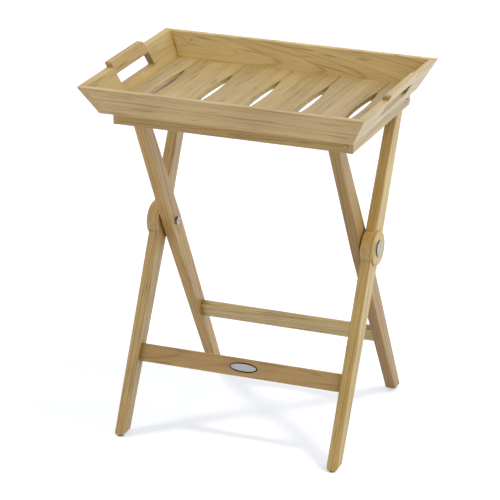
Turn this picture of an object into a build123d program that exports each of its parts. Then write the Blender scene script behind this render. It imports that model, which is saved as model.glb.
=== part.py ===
from build123d import *

import os
from math import cos, radians, sin

# A folding tray table: a flared tray with a slatted floor on a stand of crossed legs.
# Sizes are in millimetres. +Z is up, the front faces -Y and the feet stand on Z = 0.

# Tray
tray_length = 600.0  # over the rim, left to right
tray_width = 434.0  # over the rim, front to back
tray_forward = 16.5  # from the crossing of the legs to the tray's middle
end_flare = 33.5  # outward lean of each end over the board height
long_flare = 30.0  # outward lean of the front and the back over the board height
board_height = 59.0
end_board_thickness = 15.0  # measured level
long_board_thickness = 14.6  # measured level
finger_count = 5  # layers of each corner joint
rim_round = 2.0

# Handles, each let into a notch in an end of the tray, over a hand slot
handle_length = 154.0
handle_rise = 11.0  # above the rim
handle_corner = 4.0
handle_edge = 2.5
slot_height = 23.0
slot_sill = 22.5  # from the tray's underside up to the hand slot
slot_corner = 3.0
handle_tenon_thickness = 6.0
handle_tenon_height = 8.0
handle_tenon_length = 10.0

# Tray floor
slat_count = 6
end_slat_width = 41.5  # from an end board's foot to the first joint
slat_joint = 0.8  # hairline between two slats
drain_length = 222.0  # eye-shaped opening in each joint
drain_width = 18.5
slat_thickness = 10.0
slat_seat = 9.0  # how far the tongues reach into the boards
slat_chamfer = 1.2
tongue_thickness = 5.0

# Legs
lean = 28.0  # degrees from upright
pivot_height = 400.0
leg_thickness = 22.4
leg_depth_pivot = 45.0
leg_depth_top = 31.0
leg_depth_foot = 26.0
leg_gap = 3.0  # between an outer leg and an inner leg
leg_tongue = 11.7  # top of an inner leg behind the front bar
leg_chamfer = 1.6
foot_round = 12.0  # on the side that the leg leans away from
foot_chamfer = 4.5  # on a foot's left and right
glide_radius = 6.5
glide_height = 3.5
glide_inset = 1.5
glide_stem_radius = 2.0
glide_stem_length = 9.0

# Hubs and pivots at the crossing
hub_radius = 36.0
hub_proud = 4.5  # outside the leg
hub_round = 2.5
pivot_radius = 5.0
pivot_clearance = 0.05
cap_radius = 16.5
cap_thickness = 2.8
cap_chamfer = 1.0
washer_radius = 15.0
bush_radius = 7.0
nut_radius = 8.0
nut_thickness = 4.8
nut_engagement = 2.2
nut_chamfer = 0.8
pivot_socket = 5.0  # across the flats
pivot_socket_depth = 1.8

# Top frame
rail_bolt_reach = 307.0  # from the crossing up the outer leg
rail_inset = 12.3  # from the foot of a tray end to the rail below it
rail_height = 32.0
rail_thickness = 10.0
rail_gap = 1.0  # between a rail and an outer leg
rail_tail = 17.0  # behind the rail bolt
rail_round = 9.0
rail_chamfer = 1.5
bar_thickness = 20.0
bar_chamfer = 1.5
bar_dowel_radius = 3.0
bar_dowel_spacing = 9.0
bar_dowel_length = 24.0
bar_dowel_bite = 7.0  # part of the dowel that sits in the rail
rail_bolt_radius = 4.0
rail_bolt_clearance = 0.06
rail_head_radius = 6.0
rail_head_height = 3.6
rail_head_recess = 3.0  # depth of the head's seat in the rail
rail_head_chamfer = 0.8
rail_socket = 5.0
rail_socket_depth = 2.2
rail_washer_radius = 10.0
insert_radius = 6.0
insert_length = 9.0

# Stretchers and rear top bar
stretcher_drop = 279.0  # from the crossing down the leg
stretcher_height = 37.0
stretcher_thickness = 15.0
stretcher_setback = 2.0  # behind the leg's middle line
stretcher_round = 2.0
stretcher_tenon_height = 27.0
stretcher_tenon_thickness = 9.0
top_bar_height = 24.0
top_bar_thickness = 12.0
top_bar_tenon_height = 16.0
top_bar_tenon_thickness = 8.0
top_bar_tenon_length = 12.0
tenon_length = 14.0
peg_radius = 2.5
peg_sink = 0.4  # depth of a peg's end below the leg's back

# Oval plate on the front stretcher
plate_length = 61.0
plate_height = 19.0
plate_thickness = 1.6
plate_recess = 0.8
plate_offset = 8.0
plate_pin_spacing = 50.0
plate_pin_radius = 1.0
plate_pin_head = 1.7
plate_pin_head_height = 0.7
plate_pin_length = 7.0

# Clearances
running_gap = 0.3  # between faces that turn past one another
head_margin = 0.5  # around a bolt's head in its seat
notch_gap = 0.4  # between the front bar and the inner legs
leg_top_gap = 0.5  # between the leg tops and the tray
tray_gap = 0.3  # between the rails and the tray

sides = (("left", -1), ("right", 1))

# Positions that follow from the sizes
rail_face = tray_length / 2 - end_flare - rail_inset
rail_x = rail_face - rail_thickness
outer_leg_face = rail_x - rail_gap
outer_leg_x = outer_leg_face - leg_thickness
inner_leg_face = outer_leg_x - leg_gap
inner_leg_x = inner_leg_face - leg_thickness
rail_bolt_height = pivot_height + rail_bolt_reach * cos(radians(lean))
rail_bolt_back = rail_bolt_reach * sin(radians(lean))
rail_bottom = rail_bolt_height - rail_height / 2
rail_top = rail_bolt_height + rail_height / 2
tray_base = rail_top + tray_gap
rim_z = tray_base + board_height
floor_foot = tray_length / 2 - end_flare - end_board_thickness
floor_half_length = floor_foot + slat_seat
floor_half_width = tray_width / 2 - long_flare - long_board_thickness + slat_seat
tongue_z = tray_base + slat_thickness / 2
slat_pitch = 2 * (floor_foot - end_slat_width) / (slat_count - 2)
foot_drop = (pivot_height - glide_height) / cos(radians(lean))


def half_depth(along):
    """Half the depth of a leg at a distance from the crossing, positive upwards."""
    if along < 0:
        share = -along / foot_drop
        end_depth = leg_depth_foot
    else:
        share = along / rail_bolt_reach
        end_depth = leg_depth_top
    return (leg_depth_pivot + share * (end_depth - leg_depth_pivot)) / 2


def leg_point(slope, along, across):
    """Distance behind the crossing, and height, of a point along and across a leg."""
    back = along * sin(radians(slope)) + across * cos(radians(slope))
    height = pivot_height + along * cos(radians(slope)) - across * sin(radians(slope))
    return (back, height)


def edge_point(slope, edge, height):
    """Point where the front (-1) or back (1) edge of a leg reaches a height."""
    end = -foot_drop if height < pivot_height else rail_bolt_reach
    back_a, height_a = leg_point(slope, 0, edge * half_depth(0))
    back_b, height_b = leg_point(slope, end, edge * half_depth(end))
    share = (height - height_a) / (height_b - height_a)
    return (back_a + share * (back_b - back_a), height)


# The crossing is placed so that the tray's front and the rear feet are equally far from Y = 0.
foot_spread = edge_point(-lean, 1, glide_height)[0]
pivot_y = (tray_width / 2 + tray_forward - foot_spread) / 2
tray_y = pivot_y - tray_forward
rail_bolt_y = pivot_y + rail_bolt_back
leg_top = tray_base - leg_top_gap
notch_back = edge_point(-lean, 1, leg_top)[0] - leg_tongue
bar_forward = bar_thickness + notch_gap - notch_back
bar_front = pivot_y - bar_forward
glide_back = foot_spread - glide_inset - glide_radius
tray_plane = Plane(origin=(0, tray_y, 0), x_dir=(0, 1, 0), z_dir=(1, 0, 0))


def side_plane(x):
    """Upright plane across the table; its X runs to the back from the crossing, its Y is height."""
    return Plane(origin=(x, pivot_y, 0), x_dir=(0, 1, 0), z_dir=(1, 0, 0))


def leg_plane(x, slope):
    """Plane across the table at the crossing, turned with a leg; its Y runs up the leg."""
    back = (0, cos(radians(slope)), -sin(radians(slope)))
    return Plane(origin=(x, pivot_y, pivot_height), x_dir=back, z_dir=(1, 0, 0))


def end_face(height):
    """Distance from the middle to the outside of an end board, by height above its base."""
    return tray_length / 2 - end_flare + end_flare * height / board_height


def long_face(height):
    """Distance from the middle to the outside of a long board, by height above its base."""
    return tray_width / 2 - long_flare + long_flare * height / board_height


def finger_edge(face, depth, first):
    """Slanted, stepped end of a board, from bottom to top; every second layer is cut back."""
    layer = board_height / finger_count
    points = []
    for index in range(finger_count):
        inset = 0 if index % 2 == first else depth
        for height in (index * layer, (index + 1) * layer):
            points.append((face(height) - inset, tray_base + height))
    return points


def tongue_edge(face, thickness, tongue_end):
    """Edge of the floor against a board, from bottom to top."""
    lower = (slat_thickness - tongue_thickness) / 2
    upper = (slat_thickness + tongue_thickness) / 2
    return [
        (face(0) - thickness, tray_base),
        (face(lower) - thickness, tray_base + lower),
        (tongue_end, tray_base + lower),
        (tongue_end, tray_base + upper),
        (face(upper) - thickness, tray_base + upper),
        (face(slat_thickness) - thickness, tray_base + slat_thickness),
    ]


def foot_front(x_near, x_far):
    """Front view of a leg whose foot is chamfered on its left and right."""
    cut = foot_chamfer if x_far > x_near else -foot_chamfer
    return [
        (x_near + cut, glide_height),
        (x_near, glide_height + foot_chamfer),
        (x_near, rim_z),
        (x_far, rim_z),
        (x_far, glide_height + foot_chamfer),
        (x_far - cut, glide_height),
    ]


def rod(x_from, x_to, y, z, radius, mode=Mode.ADD):
    """Round bar along X."""
    with Locations(Location(((x_from + x_to) / 2, y, z), (0, 90, 0))):
        Cylinder(radius, abs(x_to - x_from), mode=mode)


def cross_rod(x, slope, along, across_from, across_to, radius, mode=Mode.ADD):
    """Round bar through the depth of a leg, square to its middle line."""
    middle = Location(((across_from + across_to) / 2, along, 0), (0, 90, 0))
    with Locations(leg_plane(x, slope).location * middle):
        Cylinder(radius, across_to - across_from, mode=mode)


os.makedirs("parts", exist_ok=True)

# Front and back boards of the tray: a leaning section, cut to the stepped outline of its fingers
long_edge = finger_edge(end_face, end_board_thickness, 0)
long_outline = long_edge + [(-x, z) for x, z in reversed(long_edge)]
for side, sign in (("front", -1), ("back", 1)):
    with BuildPart() as long_board:
        with BuildSketch(tray_plane):
            with BuildLine():
                Polyline(
                    (sign * long_face(0), tray_base),
                    (sign * long_face(board_height), rim_z),
                    (sign * (long_face(board_height) - long_board_thickness), rim_z),
                    (sign * (long_face(0) - long_board_thickness), tray_base),
                    close=True,
                )
            make_face()
        extrude(amount=tray_length / 2, both=True)
        with BuildSketch(Plane.XZ):
            with BuildLine():
                Polyline(*long_outline, close=True)
            make_face()
        extrude(amount=tray_width, both=True, mode=Mode.INTERSECT)
        fillet(long_board.edges().filter_by(Axis.X).group_by(Axis.Z)[-1], rim_round)
        with Locations((0, tray_y, tongue_z)):
            Box(2 * floor_half_length, 2 * floor_half_width, tongue_thickness, mode=Mode.SUBTRACT)
    long_board.part.label = f"tray_{side}_board"
    export_step(long_board.part, f"parts/tray_{side}_board.step")

# Ends of the tray, notched from above for a handle bar that leaves a hand slot below it
end_edge = finger_edge(long_face, long_board_thickness, 1)
end_outline = end_edge + [(-y, z) for y, z in reversed(end_edge)]
handle_foot = slot_sill + slot_height
handle_top = board_height + handle_rise
tenon_rise = (handle_foot + board_height) / 2
tenon_x = end_face(tenon_rise) - end_board_thickness / 2
tenon_reach = handle_length + 2 * handle_tenon_length


def end_section(sign, low, high):
    """Leaning section of an end board between two heights above its base."""
    return [
        (sign * end_face(low), tray_base + low),
        (sign * end_face(high), tray_base + high),
        (sign * (end_face(high) - end_board_thickness), tray_base + high),
        (sign * (end_face(low) - end_board_thickness), tray_base + low),
    ]


for side, sign in sides:
    with BuildPart() as tray_end:
        with BuildSketch(Plane.XZ):
            with BuildLine():
                Polyline(*end_section(sign, 0, board_height), close=True)
            make_face()
        extrude(amount=tray_width, both=True)
        with BuildSketch(tray_plane):
            with BuildLine():
                Polyline(*end_outline, close=True)
            make_face()
        extrude(amount=tray_length, both=True, mode=Mode.INTERSECT)
        with BuildSketch(tray_plane) as notch:
            with Locations((0, tray_base + slot_sill)):
                Rectangle(handle_length, board_height, align=(Align.CENTER, Align.MIN))
            fillet(notch.vertices().group_by(Axis.Y)[0], slot_corner)
        extrude(amount=tray_length, both=True, mode=Mode.SUBTRACT)
        with Locations((sign * tenon_x, tray_y, tray_base + tenon_rise)):
            Box(handle_tenon_thickness, tenon_reach, handle_tenon_height, mode=Mode.SUBTRACT)
        with Locations((0, tray_y, tongue_z)):
            Box(2 * floor_half_length, 2 * floor_half_width, tongue_thickness, mode=Mode.SUBTRACT)
    tray_end.part.label = f"tray_{side}_end"
    export_step(tray_end.part, f"parts/tray_{side}_end.step")

    with BuildPart() as handle:
        with BuildSketch(Plane.XZ.offset(-tray_y)):
            with BuildLine():
                Polyline(*end_section(sign, handle_foot, handle_top), close=True)
            make_face()
        extrude(amount=handle_length / 2, both=True)
        fillet(handle.edges().filter_by(Axis.Y), handle_edge)
        with BuildSketch(tray_plane) as handle_outline:
            with Locations((0, tray_base)):
                Rectangle(handle_length, handle_top, align=(Align.CENTER, Align.MIN))
            fillet(handle_outline.vertices().group_by(Axis.Y)[-1], handle_corner)
        extrude(amount=tray_length, both=True, mode=Mode.INTERSECT)
        with Locations((sign * tenon_x, tray_y, tray_base + tenon_rise)):
            Box(handle_tenon_thickness, tenon_reach, handle_tenon_height)
    handle.part.label = f"{side}_handle"
    export_step(handle.part, f"parts/{side}_handle.step")

# Floor slats: bevelled to the boards' faces, with tongues in the boards' grooves, and hollowed along
# their joints for eye-shaped drains
slat_end = tongue_edge(long_face, long_board_thickness, floor_half_width)
slat_side = tongue_edge(end_face, end_board_thickness, floor_half_length)
first_joint = -slat_pitch * (slat_count - 2) / 2
for index in range(slat_count):
    joint_left = first_joint + slat_pitch * (index - 1)
    joint_right = first_joint + slat_pitch * index
    slat_left = joint_left + slat_joint / 2
    slat_right = joint_right - slat_joint / 2
    left_edge = [(slat_left, tray_base + slat_thickness), (slat_left, tray_base)]
    right_edge = [(slat_right, tray_base), (slat_right, tray_base + slat_thickness)]
    joints = [joint_left, joint_right]
    if index == 0:
        left_edge = [(-x, z) for x, z in reversed(slat_side)]
        joints = [joint_right]
    if index == slat_count - 1:
        right_edge = slat_side
        joints = [joint_left]
    with BuildPart() as floor_slat:
        with BuildSketch(tray_plane):
            with BuildLine():
                Polyline(*slat_end, *[(-y, z) for y, z in reversed(slat_end)], close=True)
            make_face()
        extrude(amount=floor_half_length, both=True)
        with BuildSketch(Plane.XZ):
            with BuildLine():
                Polyline(*right_edge, *left_edge, close=True)
            make_face()
        extrude(amount=tray_width, both=True, mode=Mode.INTERSECT)
        with BuildSketch(Plane.XY.offset(tray_base)):
            for joint in joints:
                near = (joint, tray_y - drain_length / 2)
                far = (joint, tray_y + drain_length / 2)
                with BuildLine():
                    ThreePointArc(near, (joint - drain_width / 2, tray_y), far)
                    ThreePointArc(far, (joint + drain_width / 2, tray_y), near)
                make_face()
        extrude(amount=slat_thickness, mode=Mode.SUBTRACT)
        top_edges = floor_slat.faces().sort_by(Axis.Z)[-1].edges().filter_by(Axis.X, reverse=True)
        joint_edges = [
            edge for edge in top_edges
            if min(abs(edge.center().X - joint) for joint in joints) < drain_width
        ]
        chamfer(joint_edges, slat_chamfer)
    floor_slat.part.label = f"floor_slat_{index + 1}"
    export_step(floor_slat.part, f"parts/floor_slat_{index + 1}.step")

# Side rails, which carry the tray and swing on the rail bolts
bar_dowel_z = rail_bottom + rail_height / 2
bar_dowel_y = bar_front + bar_thickness / 2
for side, sign in sides:
    with BuildPart() as side_rail:
        with BuildSketch(side_plane(sign * rail_x)):
            with BuildLine():
                Polyline(
                    (-bar_forward, rail_bottom),
                    (rail_bolt_back + rail_tail, rail_bottom),
                    (rail_bolt_back + rail_tail, rail_top),
                    (-bar_forward, rail_top),
                    close=True,
                )
            make_face()
            fillet(vertices().group_by(Axis.X)[-1], rail_round)
        extrude(amount=sign * rail_thickness)
        chamfer(side_rail.faces().sort_by(Axis.X)[0 if sign < 0 else -1].edges(), rail_chamfer)
        bolt_bore = rail_bolt_radius + rail_bolt_clearance
        rod(sign * rail_x, sign * rail_face, rail_bolt_y, rail_bolt_height, bolt_bore, Mode.SUBTRACT)
        seat_x = rail_face - rail_head_recess
        seat_radius = rail_head_radius + head_margin
        rod(sign * seat_x, sign * rail_face, rail_bolt_y, rail_bolt_height, seat_radius, Mode.SUBTRACT)
        for offset in (-bar_dowel_spacing / 2, bar_dowel_spacing / 2):
            rod(
                sign * rail_x,
                sign * (rail_x + bar_dowel_bite),
                bar_dowel_y + offset,
                bar_dowel_z,
                bar_dowel_radius,
                Mode.SUBTRACT,
            )
    side_rail.part.label = f"{side}_side_rail"
    export_step(side_rail.part, f"parts/{side}_side_rail.step")

# Front bar between the rails
with BuildPart() as front_bar:
    with BuildSketch(Plane.XZ.offset(-bar_front)):
        with Locations((0, rail_bottom + rail_height / 2)):
            Rectangle(2 * rail_x, rail_height)
    extrude(amount=-bar_thickness)
    chamfer(front_bar.edges().filter_by(Axis.X), bar_chamfer)
    for sign in (-1, 1):
        for offset in (-bar_dowel_spacing / 2, bar_dowel_spacing / 2):
            rod(
                sign * (rail_x - bar_dowel_length + bar_dowel_bite),
                sign * rail_x,
                bar_dowel_y + offset,
                bar_dowel_z,
                bar_dowel_radius,
                Mode.SUBTRACT,
            )
front_bar.part.label = "front_bar"
export_step(front_bar.part, "parts/front_bar.step")

# Dowels between the front bar and the rails
with BuildPart() as bar_dowels:
    for sign in (-1, 1):
        for offset in (-bar_dowel_spacing / 2, bar_dowel_spacing / 2):
            rod(
                sign * (rail_x - bar_dowel_length + bar_dowel_bite),
                sign * (rail_x + bar_dowel_bite),
                bar_dowel_y + offset,
                bar_dowel_z,
                bar_dowel_radius,
            )
bar_dowels.part.label = "bar_dowels"
export_step(bar_dowels.part, "parts/bar_dowels.step")

# Outer legs, with a round top at the rail bolt and a hub at the crossing
outer_outline = [
    edge_point(lean, -1, glide_height),
    leg_point(lean, 0, -half_depth(0)),
    leg_point(lean, rail_bolt_reach, -half_depth(rail_bolt_reach)),
    leg_point(lean, rail_bolt_reach, half_depth(rail_bolt_reach)),
    leg_point(lean, 0, half_depth(0)),
    edge_point(lean, 1, glide_height),
]
stretcher_back = half_depth(-stretcher_drop) - peg_sink
top_bar_back = half_depth(rail_bolt_reach) - peg_sink
hub_face = outer_leg_face + hub_proud
for side, sign in sides:
    with BuildPart() as outer_leg:
        with BuildSketch(side_plane(sign * outer_leg_x)):
            with BuildLine():
                Polyline(*outer_outline, close=True)
            make_face()
            fillet(vertices().group_by(Axis.Y)[0].sort_by(Axis.X)[-1], foot_round)
            with Locations(leg_point(lean, rail_bolt_reach, 0)):
                Circle(leg_depth_top / 2)
        extrude(amount=sign * leg_thickness)
        chamfer(outer_leg.faces().filter_by(Axis.X).edges(), leg_chamfer)
        with BuildSketch(Plane.XZ):
            with BuildLine():
                Polyline(*foot_front(sign * outer_leg_x, sign * outer_leg_face), close=True)
            make_face()
        extrude(amount=tray_width, both=True, mode=Mode.INTERSECT)
        rod(sign * outer_leg_x, sign * hub_face, pivot_y, pivot_height, hub_radius)
        hub_rim = outer_leg.faces().filter_by(Axis.X).sort_by(Axis.X)[0 if sign < 0 else -1].edges()
        fillet(hub_rim, hub_round)
        rod(sign * outer_leg_x, sign * hub_face, pivot_y, pivot_height, pivot_radius, Mode.SUBTRACT)
        insert_x = outer_leg_face - insert_length
        rod(
            sign * insert_x,
            sign * outer_leg_face,
            rail_bolt_y,
            rail_bolt_height,
            insert_radius,
            Mode.SUBTRACT,
        )
        with BuildSketch(leg_plane(sign * outer_leg_x, lean)):
            with Locations((stretcher_setback, -stretcher_drop)):
                Rectangle(stretcher_tenon_thickness, stretcher_tenon_height)
        extrude(amount=sign * tenon_length, mode=Mode.SUBTRACT)
        with BuildSketch(leg_plane(sign * outer_leg_x, lean)):
            with Locations((0, rail_bolt_reach)):
                Rectangle(top_bar_tenon_thickness, top_bar_tenon_height)
        extrude(amount=sign * top_bar_tenon_length, mode=Mode.SUBTRACT)
        peg_x = sign * (outer_leg_x + tenon_length / 2)
        cross_rod(peg_x, lean, -stretcher_drop, -stretcher_thickness / 2, stretcher_back + leg_depth_foot,
                  peg_radius, Mode.SUBTRACT)
        peg_x = sign * (outer_leg_x + top_bar_tenon_length / 2)
        cross_rod(peg_x, lean, rail_bolt_reach, -top_bar_thickness / 2, top_bar_back + leg_depth_top,
                  peg_radius, Mode.SUBTRACT)
        stem_spot = (sign * (outer_leg_x + leg_thickness / 2), pivot_y - glide_back, glide_height)
        with Locations(stem_spot):
            Cylinder(
                glide_stem_radius,
                glide_stem_length,
                align=(Align.CENTER, Align.CENTER, Align.MIN),
                mode=Mode.SUBTRACT,
            )
    outer_leg.part.label = f"outer_{side}_leg"
    export_step(outer_leg.part, f"parts/outer_{side}_leg.step")

# Inner legs, flat at the top and notched in front for the bar
notch_height = rail_bottom - notch_gap
inner_outline = [
    edge_point(-lean, -1, glide_height),
    leg_point(-lean, 0, -half_depth(0)),
    edge_point(-lean, -1, notch_height),
    (notch_back, notch_height),
    (notch_back, leg_top),
    edge_point(-lean, 1, leg_top),
    leg_point(-lean, 0, half_depth(0)),
    edge_point(-lean, 1, glide_height),
]
for side, sign in sides:
    with BuildPart() as inner_leg:
        with BuildSketch(side_plane(sign * inner_leg_x)):
            with BuildLine():
                Polyline(*inner_outline, close=True)
            make_face()
            fillet(vertices().group_by(Axis.Y)[0].sort_by(Axis.X)[0], foot_round)
        extrude(amount=sign * leg_thickness)
        chamfer(inner_leg.faces().filter_by(Axis.X).edges(), leg_chamfer)
        with BuildSketch(Plane.XZ):
            with BuildLine():
                Polyline(*foot_front(sign * inner_leg_x, sign * inner_leg_face), close=True)
            make_face()
        extrude(amount=tray_width, both=True, mode=Mode.INTERSECT)
        rod(sign * inner_leg_x, sign * inner_leg_face, pivot_y, pivot_height, bush_radius, Mode.SUBTRACT)
        with BuildSketch(leg_plane(sign * inner_leg_x, -lean)):
            with Locations((stretcher_setback, -stretcher_drop)):
                Rectangle(stretcher_tenon_thickness, stretcher_tenon_height)
        extrude(amount=sign * tenon_length, mode=Mode.SUBTRACT)
        peg_x = sign * (inner_leg_x + tenon_length / 2)
        cross_rod(peg_x, -lean, -stretcher_drop, -stretcher_thickness / 2, stretcher_back + leg_depth_foot,
                  peg_radius, Mode.SUBTRACT)
        stem_spot = (sign * (inner_leg_x + leg_thickness / 2), pivot_y + glide_back, glide_height)
        with Locations(stem_spot):
            Cylinder(
                glide_stem_radius,
                glide_stem_length,
                align=(Align.CENTER, Align.CENTER, Align.MIN),
                mode=Mode.SUBTRACT,
            )
    inner_leg.part.label = f"inner_{side}_leg"
    export_step(inner_leg.part, f"parts/inner_{side}_leg.step")

# Stretchers between the legs: the front one with the seat of the oval plate
plate_front = stretcher_setback - stretcher_thickness / 2
plate_y, plate_z = leg_point(lean, -stretcher_drop, plate_front)
plate_normal = (0, -cos(radians(lean)), sin(radians(lean)))
plate_plane = Plane(
    origin=(plate_offset, pivot_y + plate_y, plate_z),
    x_dir=(1, 0, 0),
    z_dir=plate_normal,
)
for name, slope, leg_x in (("front_stretcher", lean, outer_leg_x), ("rear_stretcher", -lean, inner_leg_x)):
    with BuildPart() as stretcher:
        with BuildSketch(leg_plane(0, slope)):
            with Locations((stretcher_setback, -stretcher_drop)):
                Rectangle(stretcher_thickness, stretcher_height)
        extrude(amount=leg_x, both=True)
        fillet(stretcher.edges().filter_by(Axis.X), stretcher_round)
        with BuildSketch(leg_plane(0, slope)):
            with Locations((stretcher_setback, -stretcher_drop)):
                Rectangle(stretcher_tenon_thickness, stretcher_tenon_height)
        extrude(amount=leg_x + tenon_length, both=True)
        for sign in (-1, 1):
            peg_x = sign * (leg_x + tenon_length / 2)
            cross_rod(peg_x, slope, -stretcher_drop, -stretcher_thickness, stretcher_thickness,
                      peg_radius, Mode.SUBTRACT)
        if name == "front_stretcher":
            with BuildSketch(plate_plane):
                Ellipse(plate_length / 2, plate_height / 2)
            extrude(amount=-plate_recess, mode=Mode.SUBTRACT)
            with BuildSketch(plate_plane):
                with GridLocations(plate_pin_spacing, 0, 2, 1):
                    Circle(plate_pin_radius)
            extrude(amount=-plate_pin_length, mode=Mode.SUBTRACT)
    stretcher.part.label = name
    export_step(stretcher.part, f"parts/{name}.step")

# Bare oval plate, let into the front stretcher, and its two pins
with BuildPart() as oval_plate:
    with BuildSketch(plate_plane.offset(-plate_recess)):
        Ellipse(plate_length / 2, plate_height / 2)
        with GridLocations(plate_pin_spacing, 0, 2, 1):
            Circle(plate_pin_radius, mode=Mode.SUBTRACT)
    extrude(amount=plate_thickness)
oval_plate.part.label = "oval_plate"
export_step(oval_plate.part, "parts/oval_plate.step")

plate_face = plate_thickness - plate_recess
with BuildPart() as plate_pins:
    with BuildSketch(plate_plane.offset(-plate_pin_length)):
        with GridLocations(plate_pin_spacing, 0, 2, 1):
            Circle(plate_pin_radius)
    extrude(amount=plate_pin_length + plate_face)
    with BuildSketch(plate_plane.offset(plate_face)):
        with GridLocations(plate_pin_spacing, 0, 2, 1):
            Circle(plate_pin_head)
    extrude(amount=plate_pin_head_height)
plate_pins.part.label = "plate_pins"
export_step(plate_pins.part, "parts/plate_pins.step")

# Rear top bar between the outer legs, under the tray
with BuildPart() as rear_top_bar:
    with BuildSketch(leg_plane(0, lean)):
        with Locations((0, rail_bolt_reach)):
            Rectangle(top_bar_thickness, top_bar_height)
    extrude(amount=outer_leg_x, both=True)
    fillet(rear_top_bar.edges().filter_by(Axis.X), stretcher_round)
    with BuildSketch(leg_plane(0, lean)):
        with Locations((0, rail_bolt_reach)):
            Rectangle(top_bar_tenon_thickness, top_bar_tenon_height)
    extrude(amount=outer_leg_x + top_bar_tenon_length, both=True)
    for sign in (-1, 1):
        peg_x = sign * (outer_leg_x + top_bar_tenon_length / 2)
        cross_rod(peg_x, lean, rail_bolt_reach, -top_bar_thickness, top_bar_thickness,
                  peg_radius, Mode.SUBTRACT)
rear_top_bar.part.label = "rear_top_bar"
export_step(rear_top_bar.part, "parts/rear_top_bar.step")

# Pegs that lock the tenons, driven from the back of the legs
stretcher_seat = (-stretcher_drop, -stretcher_thickness / 2, stretcher_back)
top_bar_seat = (rail_bolt_reach, -top_bar_thickness / 2, top_bar_back)
for name, slope, x, seat in (
    ("front_stretcher_pegs", lean, outer_leg_x + tenon_length / 2, stretcher_seat),
    ("rear_stretcher_pegs", -lean, inner_leg_x + tenon_length / 2, stretcher_seat),
    ("rear_bar_pegs", lean, outer_leg_x + top_bar_tenon_length / 2, top_bar_seat),
):
    with BuildPart() as pegs:
        for sign in (-1, 1):
            cross_rod(sign * x, slope, *seat, peg_radius)
    pegs.part.label = name
    export_step(pegs.part, f"parts/{name}.step")

# Pivot bolts with wide caps, and their nuts on the inner legs
nut_seat = inner_leg_x - running_gap
for side, sign in sides:
    with BuildPart() as pivot_bolt:
        rod(sign * hub_face, sign * (hub_face + cap_thickness), pivot_y, pivot_height, cap_radius)
        cap_rim = pivot_bolt.faces().sort_by(Axis.X)[0 if sign < 0 else -1].edges()
        chamfer(cap_rim, cap_chamfer)
        rod(sign * (nut_seat - nut_engagement), sign * hub_face, pivot_y, pivot_height, pivot_radius)
    pivot_bolt.part.label = f"{side}_pivot_bolt"
    export_step(pivot_bolt.part, f"parts/{side}_pivot_bolt.step")

    with BuildPart() as pivot_nut:
        rod(sign * (nut_seat - nut_thickness), sign * nut_seat, pivot_y, pivot_height, nut_radius)
        chamfer(pivot_nut.faces().sort_by(Axis.X)[-1 if sign < 0 else 0].edges(), nut_chamfer)
        rod(
            sign * (nut_seat - nut_engagement),
            sign * nut_seat,
            pivot_y,
            pivot_height,
            pivot_radius,
            Mode.SUBTRACT,
        )
        with BuildSketch(side_plane(sign * (nut_seat - nut_thickness))):
            with Locations((0, pivot_height)):
                RegularPolygon(pivot_socket / 2, 6, major_radius=False)
        extrude(amount=sign * pivot_socket_depth, mode=Mode.SUBTRACT)
    pivot_nut.part.label = f"{side}_pivot_nut"
    export_step(pivot_nut.part, f"parts/{side}_pivot_nut.step")

# Washers between the hubs and the inner legs
with BuildPart() as pivot_washers:
    for sign in (-1, 1):
        washer_x = inner_leg_face + running_gap
        rod(sign * washer_x, sign * outer_leg_x, pivot_y, pivot_height, washer_radius)
        rod(sign * washer_x, sign * outer_leg_x, pivot_y, pivot_height, pivot_radius, Mode.SUBTRACT)
pivot_washers.part.label = "pivot_washers"
export_step(pivot_washers.part, "parts/pivot_washers.step")

# Bushes in the inner legs, which turn on the pivot bolts
with BuildPart() as pivot_bushes:
    for sign in (-1, 1):
        bore = pivot_radius + pivot_clearance
        rod(sign * inner_leg_x, sign * inner_leg_face, pivot_y, pivot_height, bush_radius)
        rod(sign * inner_leg_x, sign * inner_leg_face, pivot_y, pivot_height, bore, Mode.SUBTRACT)
pivot_bushes.part.label = "pivot_bushes"
export_step(pivot_bushes.part, "parts/pivot_bushes.step")

# Bolts on which the rails swing
for side, sign in sides:
    with BuildPart() as rail_bolt:
        head_seat = rail_face - rail_head_recess + running_gap
        head_end = head_seat + rail_head_height
        rod(sign * head_seat, sign * head_end, rail_bolt_y, rail_bolt_height, rail_head_radius)
        chamfer(rail_bolt.faces().sort_by(Axis.X)[0 if sign < 0 else -1].edges(), rail_head_chamfer)
        bolt_end = outer_leg_face - insert_length
        rod(sign * bolt_end, sign * head_seat, rail_bolt_y, rail_bolt_height, rail_bolt_radius)
        with BuildSketch(side_plane(sign * head_end)):
            with Locations((rail_bolt_back, rail_bolt_height)):
                RegularPolygon(rail_socket / 2, 6, major_radius=False)
        extrude(amount=-sign * rail_socket_depth, mode=Mode.SUBTRACT)
    rail_bolt.part.label = f"{side}_rail_bolt"
    export_step(rail_bolt.part, f"parts/{side}_rail_bolt.step")

# Washers between the rails and the outer legs
with BuildPart() as rail_washers:
    for sign in (-1, 1):
        washer_end = rail_x - running_gap
        rod(sign * outer_leg_face, sign * washer_end, rail_bolt_y, rail_bolt_height, rail_washer_radius)
        rod(
            sign * outer_leg_face,
            sign * washer_end,
            rail_bolt_y,
            rail_bolt_height,
            rail_bolt_radius,
            Mode.SUBTRACT,
        )
rail_washers.part.label = "rail_washers"
export_step(rail_washers.part, "parts/rail_washers.step")

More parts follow.
